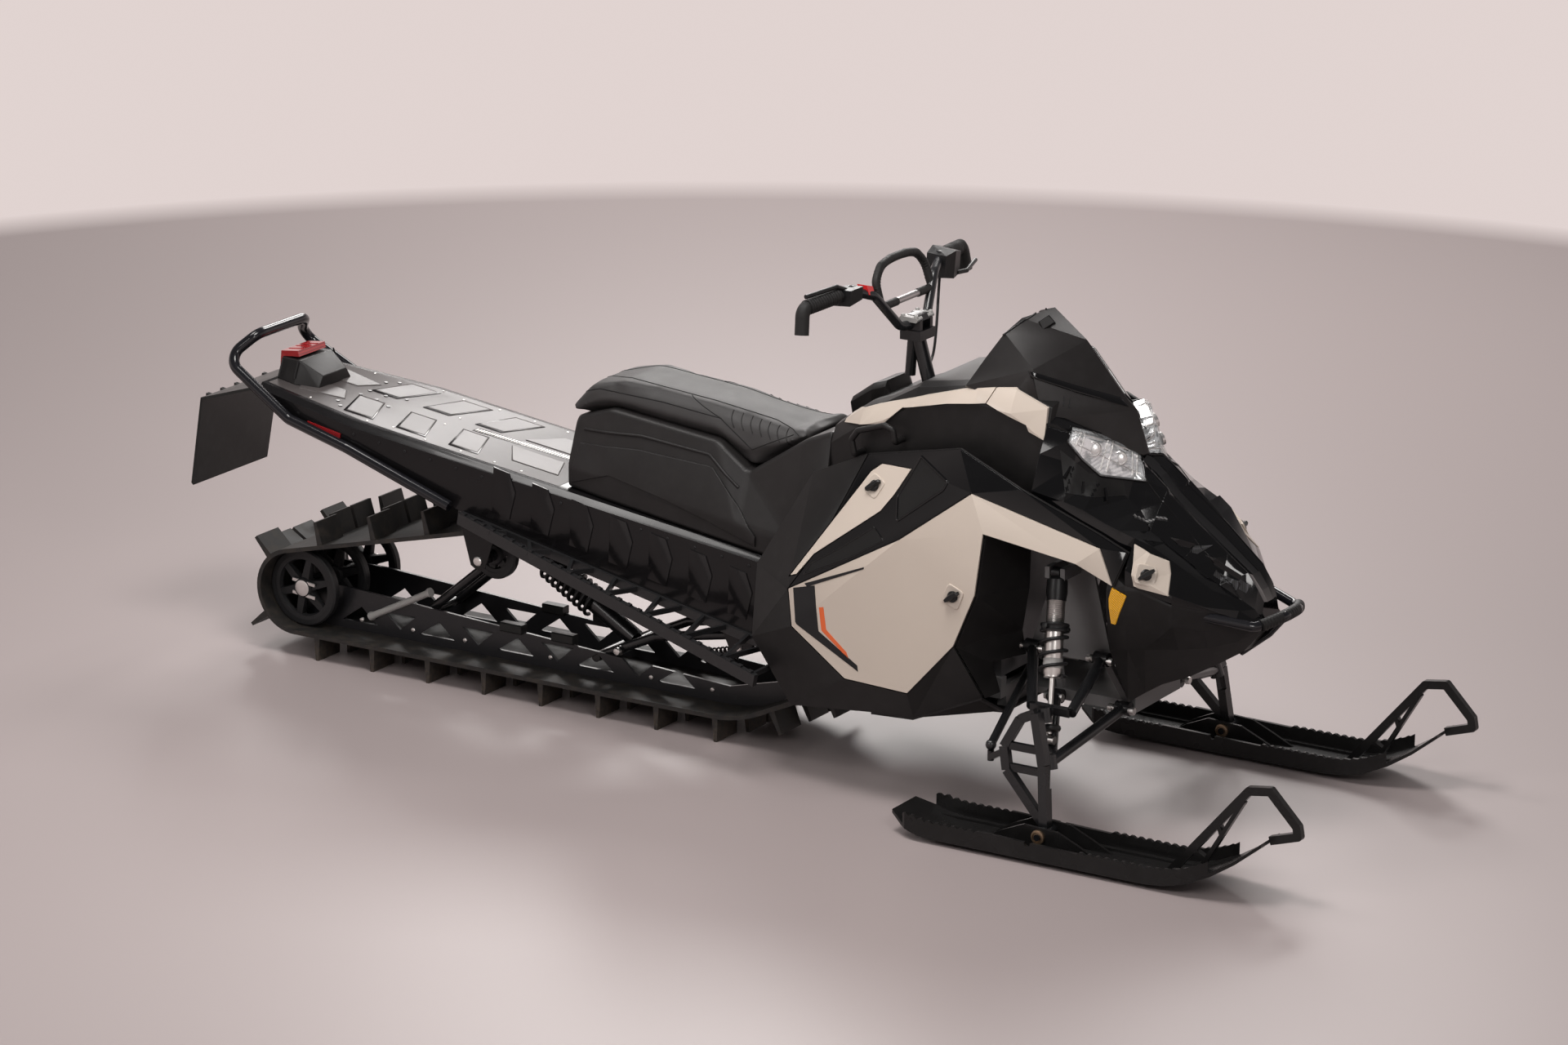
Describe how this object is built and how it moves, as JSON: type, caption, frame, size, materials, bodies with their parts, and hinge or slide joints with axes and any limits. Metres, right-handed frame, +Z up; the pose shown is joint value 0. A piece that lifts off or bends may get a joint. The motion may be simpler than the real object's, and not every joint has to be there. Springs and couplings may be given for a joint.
{
  "type": "snowmobile",
  "caption": "Mountain snowmobile with a long tall-lugged track under a sheet tunnel, steered skis on A-arms, faceted body panels, tall windshield and hooked handlebar.",
  "frame": {"origin": "on the ground under the middle of the whole machine, track and skis standing on Z = 0", "axes": "+X forward, +Y to the rider's left, +Z up"},
  "size_m": [3.3639, 1.096, 1.252],
  "materials": {
    "amber_lens": "amber reflector",
    "arm_black": "satin black",
    "bar_metal": "dark grey bar",
    "board_black": "satin black",
    "bulkhead_grey": "dark grey cast",
    "cable_black": "black jacket",
    "control_plastic": "black control blocks",
    "dark_plastic": "fine grained dark plastic",
    "engine_metal": "cast",
    "flap_plastic": "ribbed flexible plastic",
    "grip_rubber": "moulded rubber",
    "hoop_rubber": "rubber wrapped",
    "lamp_clear": "clear faceted lens",
    "pale_panel": "warm pale satin",
    "post_metal": "black post",
    "rail_aluminium": "dark anodised",
    "red_lens": "red lens",
    "rubber_track": "black moulded rubber with dusty tips",
    "screen_plastic": "matte with gloss rim",
    "seat_cover": "matte vinyl with sewn seams",
    "shock_black": "satin black",
    "shock_silver": "threaded bright body",
    "ski_plastic": "black moulded ski",
    "spring_black": "satin black wire",
    "switch_red": "moulded red",
    "trim_gloss": "gloss black",
    "tube_black": "gloss black tube",
    "tunnel_black": "satin black sheet",
    "wheel_plastic": "black moulded wheels"
  },
  "bodies": {
    "chassis": {"a_arms_left": "arm_black", "a_arms_right": "arm_black", "arch_liner_left": "dark_plastic", "arch_liner_right": "dark_plastic", "belly_pan": "dark_plastic", "bulkhead": "bulkhead_grey", "console": "dark_plastic", "console_trim": "pale_panel", "drive_axle": "wheel_plastic", "engine": "engine_metal", "front_bumper": "tube_black", "front_covers": "pale_panel", "grab_handles": "dark_plastic", "headlights": "lamp_clear", "hood": "trim_gloss", "idler_wheels": "wheel_plastic", "nose": "dark_plastic", "rear_bumper": "tube_black", "reflectors": "amber_lens", "running_board_left": "board_black", "running_board_right": "board_black", "seat": "seat_cover", "seat_base": "dark_plastic", "side_fairing_left": "dark_plastic", "side_fairing_right": "dark_plastic", "side_fender_left": "trim_gloss", "side_fender_right": "trim_gloss", "side_panel_left": "pale_panel", "side_panel_right": "pale_panel", "side_reflectors": "red_lens", "ski_shock_left": "shock_silver", "ski_shock_right": "shock_silver", "ski_springs": "spring_black", "slide_rails": "rail_aluminium", "snow_flap": "flap_plastic", "tail_lens": "red_lens", "tail_light": "trim_gloss", "torque_arms": "arm_black", "track": "rubber_track", "track_shocks": "shock_black", "tunnel": "tunnel_black", "windshield": "screen_plastic"},
    "handlebars": {"steering_post": "post_metal", "handlebar": "bar_metal", "grips": "grip_rubber", "grab_hoop": "hoop_rubber", "stop_switch": "switch_red", "brake_control": "control_plastic", "throttle_control": "control_plastic", "brake_line": "cable_black"},
    "spindle_right": {"spindle_right": "arm_black"},
    "ski_right": {"ski_right": "ski_plastic", "ski_loop_right": "ski_plastic"},
    "tie_rod_right": {"tie_rod_right": "arm_black"},
    "spindle_left": {"spindle_left": "arm_black"},
    "ski_left": {"ski_left": "ski_plastic", "ski_loop_left": "ski_plastic"},
    "tie_rod_left": {"tie_rod_left": "arm_black"}
  },
  "joints": [
    {"name": "steering", "type": "hinge", "parent": "chassis", "child": "handlebars", "pos_m": [0.395, 0, 1.052], "axis": [-0.2834, 0, 0.959], "range_deg": [-32, 32]},
    {"name": "spindle_right_turn", "type": "hinge", "parent": "chassis", "child": "spindle_right", "pos_m": [1.003, -0.415, 0.208], "axis": [-0.2474, 0.1741, 0.9531], "range_deg": [-28.8, 28.8]},
    {"name": "tie_rod_right_turn", "type": "hinge", "parent": "spindle_right", "child": "tie_rod_right", "pos_m": [0.849, -0.42, 0.225], "axis": [-0.2474, 0.1741, 0.9531], "range_deg": [-28.8, 28.8]},
    {"name": "ski_right_pitch", "type": "hinge", "parent": "spindle_right", "child": "ski_right", "pos_m": [1.02, -0.46, 0.052], "axis": [0, 1, 0], "range_deg": [-20, 15]},
    {"name": "spindle_left_turn", "type": "hinge", "parent": "chassis", "child": "spindle_left", "pos_m": [1.003, 0.415, 0.208], "axis": [-0.2474, -0.1741, 0.9531], "range_deg": [-28.8, 28.8]},
    {"name": "tie_rod_left_turn", "type": "hinge", "parent": "spindle_left", "child": "tie_rod_left", "pos_m": [0.849, 0.42, 0.225], "axis": [-0.2474, -0.1741, 0.9531], "range_deg": [-28.8, 28.8]},
    {"name": "ski_left_pitch", "type": "hinge", "parent": "spindle_left", "child": "ski_left", "pos_m": [1.02, 0.46, 0.052], "axis": [0, 1, 0], "range_deg": [-20, 15]}
  ],
  "couplings": [
    {"joint": "spindle_right_turn", "follows": "steering", "ratio": 0.9},
    {"joint": "tie_rod_right_turn", "follows": "steering", "ratio": -0.9},
    {"joint": "spindle_left_turn", "follows": "steering", "ratio": 0.9},
    {"joint": "tie_rod_left_turn", "follows": "steering", "ratio": -0.9}
  ]
}
